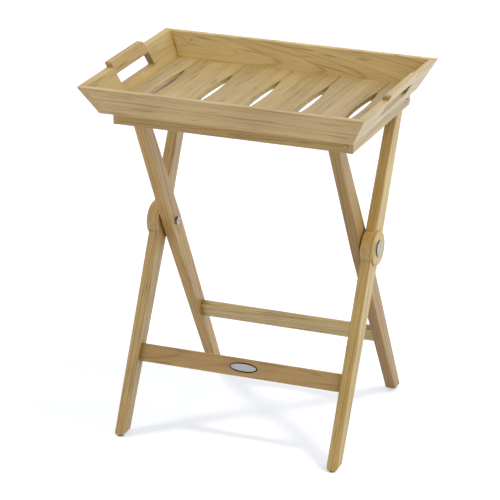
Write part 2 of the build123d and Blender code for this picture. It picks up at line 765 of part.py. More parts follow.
# Threaded inserts that hold the rail bolts in the outer legs
with BuildPart() as rail_inserts:
    for sign in (-1, 1):
        insert_x = outer_leg_face - insert_length
        rod(sign * insert_x, sign * outer_leg_face, rail_bolt_y, rail_bolt_height, insert_radius)
        rod(
            sign * insert_x,
            sign * outer_leg_face,
            rail_bolt_y,
            rail_bolt_height,
            rail_bolt_radius,
            Mode.SUBTRACT,
        )
rail_inserts.part.label = "rail_inserts"
export_step(rail_inserts.part, "parts/rail_inserts.step")

# Glides under the feet, held by a stem
for name, leg_x, back in (
    ("outer_glides", outer_leg_x, -glide_back),
    ("inner_glides", inner_leg_x, glide_back),
):
    with BuildPart() as glides:
        for sign in (-1, 1):
            with Locations((sign * (leg_x + leg_thickness / 2), pivot_y + back, 0)):
                Cylinder(glide_radius, glide_height, align=(Align.CENTER, Align.CENTER, Align.MIN))
                Cylinder(
                    glide_stem_radius,
                    glide_height + glide_stem_length,
                    align=(Align.CENTER, Align.CENTER, Align.MIN),
                )
    glides.part.label = name
    export_step(glides.part, f"parts/{name}.step")
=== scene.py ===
import functools
import math
from collections import namedtuple

import bmesh
import bpy
from mathutils import Matrix, Vector


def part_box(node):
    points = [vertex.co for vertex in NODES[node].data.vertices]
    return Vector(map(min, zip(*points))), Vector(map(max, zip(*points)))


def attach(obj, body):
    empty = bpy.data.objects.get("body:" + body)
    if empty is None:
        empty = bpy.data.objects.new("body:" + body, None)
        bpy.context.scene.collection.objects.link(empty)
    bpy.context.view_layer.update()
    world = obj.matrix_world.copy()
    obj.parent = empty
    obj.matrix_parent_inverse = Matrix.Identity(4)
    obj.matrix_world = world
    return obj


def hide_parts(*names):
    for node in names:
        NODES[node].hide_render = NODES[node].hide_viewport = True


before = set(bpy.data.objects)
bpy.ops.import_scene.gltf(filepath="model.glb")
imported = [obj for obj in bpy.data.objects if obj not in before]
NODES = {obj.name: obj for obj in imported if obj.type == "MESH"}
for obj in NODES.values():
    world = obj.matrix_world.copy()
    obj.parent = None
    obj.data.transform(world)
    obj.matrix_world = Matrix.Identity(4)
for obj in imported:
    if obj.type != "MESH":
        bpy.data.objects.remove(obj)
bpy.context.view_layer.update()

bl_info = {
    "name": "Folding tray table",
    "version": (1, 0, 0),
    "blender": (4, 5, 0),
    "location": "View3D > Sidebar > Tray table",
    "description": "Dresses a folding teak tray table and sets up its studio",
    "category": "Object",
}

# Directions of the pieces. The legs lean by the same angle, one pair each way.
LEAN = math.radians(28.0)
ACROSS = (1.0, 0.0, 0.0)
DEEP = (0.0, 1.0, 0.0)
UPRIGHT = (0.0, 0.0, 1.0)
UP_OUTER_LEG = (0.0, math.sin(LEAN), math.cos(LEAN))
UP_INNER_LEG = (0.0, -math.sin(LEAN), math.cos(LEAN))
OUT_OF_PLATE = (0.0, -math.cos(LEAN), math.sin(LEAN))
THROUGH_INNER_LEG = (0.0, math.cos(LEAN), math.sin(LEAN))

# How a board was sawn: the way its grain runs, where the heart of the tree lay from the board's middle,
# in metres, the wash that multiplies the teak's colours, because no two boards match, how strongly the
# growth rings show, the share of the full painted corner shade that its corners get, and the staves
# glued to the first one: how far across the table each starts, in metres, and its own wash.
Board = namedtuple("Board", "grain heart wash lines grime staves", defaults=(1.0, ()))
TRAY_BOARDS = {
    "tray_front_board": Board((1.0, 0.0, 0.006), (0.10, 0.012, -0.085), "#F2E6D0", 0.38),
    "tray_back_board": Board((1.0, -0.012, -0.088), (-0.20, 0.024, -0.008), "#FFEEC4", 0.40),
    "tray_left_end": Board((0.0, 1.0, 0.010), (-0.050, 0.05, -0.055), "#F3E4BD", 0.16),
    "tray_right_end": Board((0.0, 1.0, -0.006), (0.060, 0.02, -0.060), "#ECE4D6", 0.26),
    "left_handle": Board((0.0, 1.0, 0.012), (-0.050, 0.01, -0.080), "#E9D7B0", 0.16),
    "right_handle": Board((0.0, 1.0, 0.0), (0.060, 0.03, -0.075), "#ECE4D6", 0.20),
}
# Share of the painted corner shade that the legs get
LEG_CORNER_SHADE = 0.35
LEGS = {
    "outer_left_leg": Board(UP_OUTER_LEG, (0.090, -0.030, 0.0), "#EEE0C5", 0.70, LEG_CORNER_SHADE),
    "outer_right_leg": Board(UP_OUTER_LEG, (0.095, 0.020, 0.1), "#EDDEB3", 0.80, LEG_CORNER_SHADE),
    "inner_left_leg": Board(UP_INNER_LEG, (-0.085, 0.035, 0.0), "#E5CD9D", 0.70, LEG_CORNER_SHADE),
    "inner_right_leg": Board(UP_INNER_LEG, (0.080, 0.030, 0.05), "#C6AE85", 0.70, LEG_CORNER_SHADE),
}
BARS = {
    "left_side_rail": Board(DEEP, (0.070, 0.0, 0.040), "#DDD5C8", 0.50),
    "right_side_rail": Board(DEEP, (0.065, 0.0, 0.045), "#DDD3C4", 0.50),
    "front_bar": Board(ACROSS, (0.05, 0.020, 0.070), "#E5D5B1", 0.50),
    "rear_top_bar": Board(ACROSS, (0.0, 0.030, 0.060), "#DDD5C8", 0.50),
    "front_stretcher": Board((1.0, 0.0, 0.022), (0.12, 0.050, -0.012), "#EBCFAA", 0.36),
    "rear_stretcher": Board((1.0, 0.0, -0.004), (0.0, 0.020, 0.090), "#FCF4E0", 0.65),
    "bar_dowels": Board(ACROSS, (0.0, 0.010, 0.050), "#DDD5C8", 0.30),
}
# Floor slats, from left to right: grain, heart, wash and staves.
SLAT_LINES = 0.16
# Share of the painted corner shade that the slats get
SLAT_CORNER_SHADE = 0.3
SLATS = (
    ((0.004, 1.0, 0.0), (0.040, 0.0, -0.050), "#D5CBB9", ((-0.230, "#DFD4C0"),)),
    ((-0.006, 1.0, 0.0), (-0.045, 0.1, -0.045), "#CEC3A4", ((-0.189, "#DED1B2"), (-0.151, "#D9CDAE"))),
    ((0.005, 1.0, 0.0), (0.055, -0.1, -0.040), "#CCC0A5",
     ((-0.062, "#D7CDB2"), (-0.036, "#CBC0A8"), (-0.022, "#DBD1B5"))),
    ((0.0, 1.0, 0.0), (-0.030, 0.0, -0.055), "#DDCFAE", ((0.056, "#D6C7A8"),)),
    ((-0.004, 1.0, 0.0), (0.050, 0.1, -0.045), "#CCC4B4", ((0.155, "#DCD2BF"), (0.177, "#D0C5B3"))),
    ((0.006, 1.0, 0.0), (-0.035, 0.0, -0.050), "#CABFB2", ()),
)
FLOOR_SLATS = {
    f"floor_slat_{number}": Board(grain, heart, wash, SLAT_LINES, SLAT_CORNER_SHADE, staves)
    for number, (grain, heart, wash, staves) in enumerate(SLATS, start=1)
}

# Pegs that lock the tenons: their wood, with its heart given from the origin, and the nodes that hold them.
PEG_WOOD = Board(OUT_OF_PLATE, (0.012, 0.0, 0.4), "#D2C8B8", 0.2)
PEGS = {
    "outer_frame": (PEG_WOOD, ("front_stretcher_pegs", "rear_bar_pegs")),
    "inner_frame": (PEG_WOOD._replace(grain=THROUGH_INNER_LEG), ("rear_stretcher_pegs",)),
}

# Knots, dark streaks and stains, and on the front bar a painted shadow drawn as a knot: middle, direction,
# length and width in metres, and depth of tone.
Knot = namedtuple("Knot", "middle along length width tone")
KNOTS = {
    "tray_back_board": (
        Knot((-0.235, 0.183, 0.732), ACROSS, 0.0070, 0.0045, 0.55),
        Knot((-0.103, 0.179, 0.724), (1.0, -0.04, -0.08), 0.060, 0.0035, 0.36),
        Knot((0.083, 0.171, 0.709), (1.0, -0.08, -0.15), 0.140, 0.0045, 0.42),
        Knot((-0.269, 0.176, 0.719), (0.5, -0.45, -0.88), 0.046, 0.0050, 0.60),
    ),
    # Painted shadow: the dark spot near the front bar's right end stands for the shadow in the gap under the
    # tray
    "front_bar": (Knot((0.242, -0.163, 0.671), ACROSS, 0.0065, 0.0048, 0.85),),
}
KNOT_REACH = 4.0  # in knot radii, how far round a knot the rings are pushed aside
KNOT_BULGE = 1.6  # in rings, how far a round knot pushes them

# Ends of the hand slots, where the end grain gets painted shade of the slot, in metres.
SLOT_OUT = 0.277
SLOT_ENDS = (0.058, -0.083)
SLOT_HEIGHT = 0.721
SLOT_END_SHADES = {
    "tray_left_end": [(-SLOT_OUT, end, SLOT_HEIGHT) for end in SLOT_ENDS],
    "tray_right_end": [(SLOT_OUT, end, SLOT_HEIGHT) for end in SLOT_ENDS],
}
SLOT_SHADE_REACH = 0.030
SLOT_SHADE_CORE = 0.7  # share of the reach that is fully painted with shade

# Depths of colour at which the pale, the middle and the late wood lie.
PALE_AT = 0.15
MIDDLE_AT = 0.48
DARK_AT = 0.90

# Roundness of the turned pieces' edges, from square at 0 to a ball at 1.
PEG_EDGE = 0.16
CAP_EDGE = 0.30
GLIDE_EDGE = 0.35

GRAIN_NOISE = 0.5  # scale of the grain's noises: a lattice of two units, which finer octaves fill in
NOISE_SWING = 4.0  # noise stays mostly within 0.25 of its middle, and this stretches that to 1
STAVE_MARGIN = 0.1  # in metres, how far the ramp of the staves' washes runs past the outer joints
SOCKET_SHADE_CORE = 0.85  # share of a socket's radius that is painted with shade all through


def linear(code):
    """An sRGB hex colour as linear red, green, blue and alpha."""
    parts = [int(code[i:i + 2], 16) / 255 for i in (1, 3, 5)]
    return tuple(c / 12.92 if c <= 0.04045 else ((c + 0.055) / 1.055) ** 2.4 for c in parts) + (1.0,)


def add_node(tree, kind, inputs=None, **settings):
    """Adds a node, sets it up, and fills its inputs with values, sockets or other nodes' first outputs."""
    made = tree.nodes.new(kind)
    for key, value in settings.items():
        setattr(made, key, value)
    for key, value in (inputs or {}).items():
        if isinstance(value, bpy.types.Node):
            value = value.outputs[0]
        if isinstance(value, bpy.types.NodeSocket):
            tree.links.new(value, made.inputs[key])
        else:
            made.inputs[key].default_value = value
    return made


def new_material(name):
    """An empty node material, and what adds a node to it."""
    material = bpy.data.materials.new(name)
    material.use_nodes = True
    material.node_tree.nodes.clear()
    return material, functools.partial(add_node, material.node_tree)


def tint(name, description, code):
    """A property that is a colour, shown as a swatch in the sidebar."""
    return bpy.props.FloatVectorProperty(
        name=name, description=description, subtype="COLOR", size=4, min=0, max=1, default=linear(code)
    )


def metres(name, description, value):
    """A property that is a length."""
    return bpy.props.FloatProperty(
        name=name, description=description, subtype="DISTANCE", unit="LENGTH", precision=5, default=value
    )


def degrees(name, description, value):
    """A property that is an angle, with its default given in degrees."""
    return bpy.props.FloatProperty(
        name=name, description=description, subtype="ANGLE", default=math.radians(value)
    )


def amount(name, description, value, **more):
    """A property that is a plain number, or one whose unit is given."""
    return bpy.props.FloatProperty(name=name, description=description, default=value, **more)


class TeakSettings(bpy.types.PropertyGroup):
    """Colours and sizes of the teak's grain"""

    pale: tint("Pale wood", "Early wood between the growth rings", "#E8D2A4")
    middle: tint("Middle wood", "Body colour of the sanded boards", "#D7BF90")
    dark: tint("Late wood", "Dark line at the end of each growth ring", "#A98B5A")
    fleck: tint("Flecks", "Dark streaks along the grain", "#7A5A33")
    knot: tint("Knots", "Heart of a knot", "#5A3A1C")
    end_grain: tint("End grain", "Colour of the sawn ends", "#C3A36F")
    # Painted shade: the dark end grain at the ends of the hand slots
    slot_shade: tint("Scorch", "End grain that a cutter scorched", "#8D7543")
    flat_sawn: tint("Flat-sawn tone", "Tone that multiplies faces cut along the rings", "#E9F1FF")
    # Painted shade: the tone that darkens the wood in corners and gaps
    grime: tint("Grime", "Tone that multiplies the wood in a corner", "#B59C68")
    # Painted warm bounce light: the tone that yellows the wood near a corner
    painted_bounce_lit: tint("Sheltered", "Tone that multiplies the wood near a corner", "#F8F3B3")
    # Reach of the ambient occlusion that places the painted shade and the painted bounce light
    occlusion_reach: metres("Shelter", "How far from a corner the wood is sheltered", 0.025)
    ring_width: metres("Ring width", "Mean width of a growth ring", 0.0055)
    ring_drift: metres("Ring drift", "How far the rings stray from a true circle", 0.004)
    drift_length: metres("Drift length", "Length along the grain over which rings stray", 0.5)
    drift_width: metres("Drift width", "Width across the grain over which rings stray", 0.111)
    taper: amount("Taper", "How fast the rings close up along the trunk", 0.03)
    streak_length: metres("Streak length", "Length of a streak of fibres along the grain", 0.11)
    streak_width: metres("Streak width", "Width of a streak across the grain", 0.0022)
    fleck_length: metres("Fleck length", "Length of a dark fleck along the grain", 0.045)
    fleck_width: metres("Fleck width", "Width of a dark fleck across the grain", 0.0022)
    cloud: metres("Cloud", "Size of the slow changes of tone", 0.0909)
    depth: amount("Depth", "Depth of colour before the patterns are added", -0.36)
    band_share: amount("Band share", "Weight of the change from ring to ring", 0.55)
    streak_share: amount("Streak share", "Weight of the streaks of fibre", 0.62)
    cloud_share: amount("Cloud share", "Weight of the slow changes of tone", 0.40)
    arris: metres("Arris", "Radius that sanding leaves on the edges", 0.0009)


class FittingSettings(bpy.types.PropertyGroup):
    """Colours and sizes of the metal fittings and the glides"""

    steel: tint("Stainless steel", "Faces of the small bolts, nuts and washers", "#B4B2AF")
    # Painted shade: the darker colour on the edges of the small fittings
    steel_shaded_edge: tint("Steel flank", "Edges of the small bolts, nuts and washers", "#8B8884")
    steel_roughness: amount("Steel roughness", "Roughness of the small fittings", 0.34)
    cap: tint("Cap", "Face of a pivot bolt's cap", "#A6A197")
    # Painted shade: the darker colour on a cap's edge
    cap_shaded_edge: tint("Cap flank", "Dull turned edge of a pivot bolt's cap", "#55524C")
    cap_roughness: amount("Cap roughness", "Roughness of a pivot bolt's cap", 0.30)
    cap_thickness: metres("Cap thickness", "Thickness of a pivot bolt's cap", 0.0028)
    shank_radius: metres("Shank radius", "Radius of a pivot bolt's shank", 0.005)
    # Painted shade: the dark disc at a rail bolt's socket
    socket: tint("Socket", "Dirt in a rail bolt's socket", "#2B2824")
    socket_radius: metres("Socket radius", "Radius of a rail bolt's socket", 0.0029)
    brass: tint("Brass", "Bushes and inserts", "#B7995A")
    brass_roughness: amount("Brass roughness", "Roughness of the bushes and inserts", 0.36)
    scratch: metres("Scratch spacing", "Spacing of the marks that turning leaves", 0.0018)
    nylon: tint("Nylon", "Glides under the feet", "#37312B")
    grit: metres("Grit", "Size of the nylon's spark texture", 0.00111)
    glide_height: metres("Glide height", "Height of a glide's disc", 0.0035)
    stem_radius: metres("Stem radius", "Radius of a glide's stem", 0.002)


class PlateSettings(bpy.types.PropertyGroup):
    """Colours and sizes of the oval plate"""

    metal: tint("Plate", "Satin face of the oval plate", "#B4B6BB")
    # A dark colour on the plate's border band
    border: tint("Border", "Blackened border of the oval plate", "#1E1A16")
    border_width: metres("Border width", "Width of the blackened border", 0.0021)
    lip_width: metres("Lip width", "Width of the bright lip inside the border", 0.0018)
    lip_height: metres("Lip height", "Height of the lip above the field", 0.00025)
    brush_length: metres("Brush length", "Length of a brushed line", 0.01667)
    brush_width: metres("Brush width", "Width of a brushed line", 0.000625)
    segments: bpy.props.IntProperty(name="Segments", description="Facets around the oval", default=96, min=16)


class StageSettings(bpy.types.PropertyGroup):
    """The camera, the floor and the lights"""

    azimuth: degrees("Azimuth", "Camera's turn to the right", 22.6)
    elevation: degrees("Elevation", "Camera's height angle", 21.24)
    roll: degrees("Roll", "Camera's tilt about its own axis", -0.5)
    distance: metres("Distance", "Camera's distance from the point it looks at", 5.7145)
    lens: amount("Lens", "Focal length in millimetres", 202.17)
    target: bpy.props.FloatVectorProperty(
        name="Target", description="Point that the camera looks at", subtype="XYZ", unit="LENGTH",
        size=3, default=(-0.021, -0.0224, 0.3683),
    )
    floor: tint("Floor", "Pale sweep that the table stands on", "#E7E7E9")
    shadow_tint: tint("Shadow tint", "Cool tone that shadows have on the floor", "#ECF3FF")
    glow: amount("Floor glow", "Share of the floor's white that no shadow takes away", 0.51)
    shade: amount("Floor shade", "Share of the floor's white that a shadow takes away", 0.70)
    sky: amount("Sky", "Strength of the even light from all round", 0.26)
    top_light: amount("Top light", "Strength of the wide light above", 0.95)
    top_spread: degrees("Top spread", "Width of the light above", 140)
    key_light: amount("Key lights", "Strength of each of the two smaller lights above", 0.80)
    key_spread: degrees("Key spread", "Width of a key light", 9)
    key_slant: degrees("Key slant", "Lean of the key lights", 28)
    side_tint: tint("Side tint", "Colour of the softbox at the right", "#F1F6FF")
    side_light: amount("Side light", "Power of the softbox at the right", 31.0, unit="POWER")


def across_grain(grain):
    """The turn that lays a direction along X, as the grain has it."""
    along = grain.normalized()
    nearly_level = abs(along.z) < 0.7
    side = along.cross(Vector(UPRIGHT if nearly_level else ACROSS)).normalized()
    return Matrix((along, side, along.cross(side)))


def long_pattern(length, width):
    """Scale of a pattern that is this long along X and this wide across it."""
    return (1 / length, 1 / width, 1 / width)


def count_rings(add, look, wood):
    """Growth rings counted out from the heart line, and the strayed coordinates that they are counted in."""
    slow = add(
        "ShaderNodeVectorMath", {0: wood, 1: long_pattern(look.drift_length, look.drift_width)},
        operation="MULTIPLY",
    )
    drift = add("ShaderNodeTexNoise", {"Vector": slow, "Scale": 1.0, "Detail": 2.0})
    sway = add("ShaderNodeVectorMath", {0: drift.outputs["Color"], 1: (0.5, 0.5, 0.5)}, operation="SUBTRACT")
    reach = NOISE_SWING * look.ring_drift
    strayed = add(
        "ShaderNodeVectorMath", {0: sway, 1: (0.0, reach, reach), 2: wood}, operation="MULTIPLY_ADD"
    )
    lengthways = add("ShaderNodeSeparateXYZ", {0: strayed})
    across = add("ShaderNodeVectorMath", {0: strayed, 1: (0.0, 1.0, 1.0)}, operation="MULTIPLY")
    radius = add("ShaderNodeVectorMath", {0: across}, operation="LENGTH").outputs["Value"]
    cone = add("ShaderNodeMath", {0: lengthways, 1: look.taper, 2: radius}, operation="MULTIPLY_ADD")
    return strayed, add("ShaderNodeMath", {0: cone, 1: look.ring_width}, operation="DIVIDE")


def add_knots(add, place, knots, count):
    """Pushes the rings aside round each knot, and gives the depth of tone in the knots' hearts."""
    hearts = 0.0
    for knot in knots:
        turn = across_grain(Vector(knot.along))
        lying = add("ShaderNodeMapping", {
            "Vector": place, "Rotation": turn.to_euler(), "Location": -(turn @ Vector(knot.middle)),
        })
        oval = add(
            "ShaderNodeVectorMath", {0: lying, 1: long_pattern(knot.length / 2, knot.width / 2)},
            operation="MULTIPLY",
        )
        away = add("ShaderNodeVectorMath", {0: oval}, operation="LENGTH").outputs["Value"]
        push = KNOT_BULGE * knot.width / knot.length
        bulge = add(
            "ShaderNodeMapRange", {"Value": away, "From Max": KNOT_REACH, "To Min": push, "To Max": 0.0},
            interpolation_type="SMOOTHSTEP",
        )
        count = add("ShaderNodeMath", {0: count, 1: bulge}, operation="ADD")
        core = add(
            "ShaderNodeMapRange",
            {"Value": away, "From Min": 0.2, "From Max": 1.2, "To Min": knot.tone, "To Max": 0.0},
            interpolation_type="SMOOTHSTEP",
        )
        hearts = add("ShaderNodeMath", {0: hearts, 1: core}, operation="MAXIMUM")
    return count, hearts


def add_fibres(add, look, wood, strayed):
    """Streaks of fibre and dark flecks, both long and thin along the grain."""
    streak_space = add(
        "ShaderNodeVectorMath", {0: wood, 1: long_pattern(look.streak_length, look.streak_width)},
        operation="MULTIPLY",
    )
    streaks = add(
        "ShaderNodeTexNoise", {"Vector": streak_space, "Scale": GRAIN_NOISE, "Detail": 3.0, "Roughness": 0.6}
    )
    fleck_space = add(
        "ShaderNodeVectorMath", {0: strayed, 1: long_pattern(look.fleck_length, look.fleck_width)},
        operation="MULTIPLY",
    )
    specks = add("ShaderNodeTexNoise", {"Vector": fleck_space, "Scale": GRAIN_NOISE, "Detail": 1.0})
    flecks = add(
        "ShaderNodeMapRange", {"Value": specks, "From Min": 0.62, "From Max": 0.76, "To Max": 0.50},
        interpolation_type="SMOOTHSTEP",
    )
    return streaks, flecks


def stave_washes(add, place, board):
    """The board's own wash, which steps where staves are glued on."""
    if not board.staves:
        return linear(board.wash)
    starts = [start for start, _ in board.staves]
    low = min(starts) - STAVE_MARGIN
    high = max(starts) + STAVE_MARGIN
    across_table = add("ShaderNodeSeparateXYZ", {0: place})
    share = add("ShaderNodeMapRange", {"Value": across_table, "From Min": low, "From Max": high})
    steps = add("ShaderNodeValToRGB", {"Fac": share})
    steps.color_ramp.interpolation = "CONSTANT"
    steps.color_ramp.elements.remove(steps.color_ramp.elements[1])
    steps.color_ramp.elements[0].color = linear(board.wash)
    for start, wash in board.staves:
        steps.color_ramp.elements.new((start - low) / (high - low)).color = linear(wash)
    return steps


def find_corners(add, look, grime):
    """Masks from ambient occlusion: painted warm bounce light near a corner, and painted shade in the corner
    itself.
    """
    openness = add("ShaderNodeAmbientOcclusion", {"Distance": look.occlusion_reach}, samples=8).outputs["AO"]
    near_corner = add("ShaderNodeMapRange", {
        "Value": openness, "From Min": 0.35, "From Max": 0.95, "To Min": 1.0, "To Max": 0.0,
    })
    painted_shade = add("ShaderNodeMapRange", {
        "Value": openness, "From Min": 0.35, "From Max": 0.67, "To Min": grime, "To Max": 0.0,
    })
    return near_corner, painted_shade


def show_ends(add, look, coords, along, colour, slot_shades):
    """End grain on faces cut across the grain, with painted shade at the ends of the hand slots."""
    facing = add(
        "ShaderNodeVectorMath", {0: coords.outputs["Normal"], 1: tuple(along)}, operation="DOT_PRODUCT"
    )
    square_on = add("ShaderNodeMath", {0: facing.outputs["Value"]}, operation="ABSOLUTE")
    end = add("ShaderNodeMapRange", {"Value": square_on, "From Min": 0.6, "From Max": 0.95, "To Max": 0.85})
    end_tone = look.end_grain
    # Painted shade at the ends of the hand slots, where the slot shades the end grain
    for spot in slot_shades:
        away = add("ShaderNodeVectorMath", {0: coords.outputs["Object"], 1: spot}, operation="DISTANCE")
        slot_shade_mask = add("ShaderNodeMapRange", {
            "Value": away.outputs["Value"],
            "From Min": SLOT_SHADE_CORE * SLOT_SHADE_REACH, "From Max": SLOT_SHADE_REACH,
            "To Min": 1.0, "To Max": 0.0,
        })
        end_tone = add("ShaderNodeMix", {0: slot_shade_mask, 6: end_tone, 7: look.slot_shade}, data_type="RGBA").outputs[2]
    return add("ShaderNodeMix", {0: end, 6: colour, 7: end_tone}, data_type="RGBA").outputs[2]


def make_teak(name, board, middle, knots=(), slot_shades=()):
    """Teak, sawn, planed and sanded, with no finish on it. Growth rings about the heart line run through the
    board. They show as lines along its faces and as arches where it is flat-sawn, among streaks of fibre
    and dark flecks. The face is dry and satin, and the sawn ends are plain but for painted shade at the
    ends of the hand slots. Corners get painted shade, and the wood near them a painted warm bounce light.
    Streaks and flecks are drawn several times as coarse as life, so that they show at this distance."""
    look = bpy.context.scene.tray_table_teak
    material, add = new_material(name)
    turn = across_grain(Vector(board.grain))
    along = turn[0]
    heart = Vector(board.heart)
    coords = add("ShaderNodeTexCoord")
    place = coords.outputs["Object"]
    wood = add("ShaderNodeMapping", {
        "Vector": place, "Rotation": turn.to_euler(), "Location": -(turn @ (Vector(middle) + heart)),
    })

    # Growth rings: each ends in a dark line, and some are darker than others
    strayed, free_count = count_rings(add, look, wood)
    count, hearts = add_knots(add, place, knots, free_count)
    bands = add(
        "ShaderNodeTexNoise", {"W": count, "Scale": GRAIN_NOISE, "Detail": 2.5, "Roughness": 0.6},
        noise_dimensions="1D",
    )
    fold = add("ShaderNodeMath", {0: count, 1: 0.5}, operation="PINGPONG")
    line = add(
        "ShaderNodeMapRange", {"Value": fold, "From Min": 0.34, "From Max": 0.5},
        interpolation_type="SMOOTHSTEP",
    )
    uneven_line = add("ShaderNodeMath", {0: line, 1: bands}, operation="MULTIPLY")

    # Depth of colour, from pale early wood to dark late wood
    streaks, flecks = add_fibres(add, look, wood, strayed)
    clouds = add("ShaderNodeTexNoise", {"Vector": wood, "Scale": 1 / look.cloud, "Detail": 1.0})
    depth = look.depth
    for layer, share in (
        (bands, look.band_share),
        (streaks, look.streak_share),
        (clouds, look.cloud_share),
        (uneven_line, board.lines),
    ):
        depth = add("ShaderNodeMath", {0: layer, 1: share, 2: depth}, operation="MULTIPLY_ADD")
    ramp = add("ShaderNodeValToRGB", {"Fac": depth})
    ramp.color_ramp.elements[0].position = PALE_AT
    ramp.color_ramp.elements[0].color = look.pale
    ramp.color_ramp.elements[1].position = DARK_AT
    ramp.color_ramp.elements[1].color = look.dark
    ramp.color_ramp.elements.new(MIDDLE_AT).color = look.middle
    colour = add("ShaderNodeMix", {0: flecks, 6: ramp, 7: look.fleck}, data_type="RGBA").outputs[2]
    if knots:
        colour = add("ShaderNodeMix", {0: hearts, 6: colour, 7: look.knot}, data_type="RGBA").outputs[2]

    # Tones that multiply the wood: the board's wash, a cooler one along the rings, and near corners a painted
    # warm bounce light and painted shade
    to_heart = heart - along * along.dot(heart)
    facing_heart = add(
        "ShaderNodeVectorMath", {0: coords.outputs["Normal"], 1: tuple(to_heart.normalized())},
        operation="DOT_PRODUCT",
    )
    flat_sawn = add("ShaderNodeMath", {0: facing_heart.outputs["Value"], 1: 2.0}, operation="POWER")
    near_corner, painted_shade = find_corners(add, look, board.grime)
    for share, tone in (
        (1.0, stave_washes(add, place, board)),
        (flat_sawn, look.flat_sawn),
        (near_corner, look.painted_bounce_lit),
        (painted_shade, look.grime),
    ):
        colour = add(
            "ShaderNodeMix", {0: share, 6: colour, 7: tone}, data_type="RGBA", blend_type="MULTIPLY"
        ).outputs[2]
    finished = show_ends(add, look, coords, along, colour, slot_shades)

    # Sanded surface: fibres stand up a little, flecks are open, and the edges are eased
    relief = add("ShaderNodeMath", {0: streaks, 1: flecks}, operation="SUBTRACT")
    eased = add("ShaderNodeBevel", {"Radius": look.arris}, samples=4)
    bump = add("ShaderNodeBump", {"Height": relief, "Strength": 0.25, "Distance": 0.0004, "Normal": eased})
    rough = add("ShaderNodeMapRange", {"Value": streaks, "To Min": 0.36, "To Max": 0.52})
    shader = add("ShaderNodeBsdfPrincipled", {"Base Color": finished, "Roughness": rough, "Normal": bump})
    add("ShaderNodeOutputMaterial", {"Surface": shader})
    return material


def patterned(add, colour, pattern, darkest, brightest):
    """A colour that a pattern multiplies, from the darkest factor to the brightest."""
    shine = add("ShaderNodeMapRange", {"Value": pattern, "To Min": darkest, "To Max": brightest})
    return add("ShaderNodeVectorMath", {0: tuple(colour)[:3], "Scale": shine}, operation="SCALE")


def add_surface(add, tone, pattern, smoothest, roughest, strength, height, metallic=0.0):
    """Ends a material in a surface whose pattern also sets its roughness and its relief."""
    rough = add("ShaderNodeMapRange", {"Value": pattern, "To Min": smoothest, "To Max": roughest})
    bump = add("ShaderNodeBump", {"Height": pattern, "Strength": strength, "Distance": height})
    shader = add("ShaderNodeBsdfPrincipled", {
        "Base Color": tone, "Metallic": metallic, "Roughness": rough, "Normal": bump,
    })
    add("ShaderNodeOutputMaterial", {"Surface": shader})


def make_turned_metal(name, node, colour, shaded_edge, roughness, socket=0.0):
    """Metal turned on a lathe about an axis across the table. The tool leaves fine rings about that axis,
    which catch the light as a satin sheen, the edge gets a darker colour as painted shade, and a bolt's
    socket gets a dark disc of painted shade. The rings are drawn several times as coarse as life, so that
    they show."""
    look = bpy.context.scene.tray_table_fittings
    material, add = new_material(name)
    coords = add("ShaderNodeTexCoord")
    spot = add(
        "ShaderNodeVectorMath", {0: coords.outputs["Object"], 1: tuple(middle_of(node))},
        operation="SUBTRACT",
    )
    across = add("ShaderNodeVectorMath", {0: spot, 1: (0.0, 1.0, 1.0)}, operation="MULTIPLY")
    radius = add("ShaderNodeVectorMath", {0: across}, operation="LENGTH").outputs["Value"]
    rings = add("ShaderNodeMath", {0: radius, 1: look.scratch}, operation="DIVIDE")
    marks = add("ShaderNodeTexNoise", {"W": rings, "Scale": 1.0, "Detail": 2.0}, noise_dimensions="1D")
    facing = add("ShaderNodeVectorMath", {0: coords.outputs["Normal"], 1: ACROSS}, operation="DOT_PRODUCT")
    square_on = add("ShaderNodeMath", {0: facing.outputs["Value"]}, operation="ABSOLUTE")
    # Painted shade: faces square to the axis keep the metal's colour, and edges get the darker one
    face_share = add(
        "ShaderNodeMapRange", {"Value": square_on, "From Min": 0.45, "From Max": 0.80},
        interpolation_type="SMOOTHSTEP",
    )
    face = patterned(add, colour, marks, darkest=0.55, brightest=1.38)
    tone = add("ShaderNodeMix", {0: face_share, 6: shaded_edge, 7: face}, data_type="RGBA").outputs[2]
    # Painted shade of the socket: a dark disc about the bolt's axis
    if socket:
        painted_shade = add("ShaderNodeMapRange", {
            "Value": radius, "From Min": SOCKET_SHADE_CORE * socket, "From Max": socket,
            "To Min": 1.0, "To Max": 0.0,
        })
        tone = add("ShaderNodeMix", {0: painted_shade, 6: tone, 7: look.socket}, data_type="RGBA").outputs[2]
    add_surface(
        add, tone, marks, smoothest=roughness - 0.08, roughest=roughness + 0.12,
        strength=0.12, height=0.0001, metallic=1.0,
    )
    return material


def make_plate_metal():
    """Aluminium, stamped and brushed lengthways, with a dark band on the border. Brushing gives fine lines
    along the oval and a soft grey sheen, drawn coarser than life so that they show."""
    look = bpy.context.scene.tray_table_plate
    material, add = new_material("aluminium_stamped_and_brushed")
    coords = add("ShaderNodeTexCoord")
    hair = add(
        "ShaderNodeVectorMath",
        {0: coords.outputs["Object"], 1: long_pattern(look.brush_length, look.brush_width)},
        operation="MULTIPLY",
    )
    brushed = add("ShaderNodeTexNoise", {"Vector": hair, "Scale": 1.0, "Detail": 2.0, "Roughness": 0.6})
    black = add("ShaderNodeAttribute", attribute_name="border")
    face = patterned(add, look.metal, brushed, darkest=0.72, brightest=1.15)
    tone = add("ShaderNodeMix", {0: black.outputs["Fac"], 6: face, 7: look.border}, data_type="RGBA")
    add_surface(
        add, tone.outputs[2], brushed, smoothest=0.34, roughest=0.56,
        strength=0.15, height=0.0001, metallic=1.0,
    )
    return material


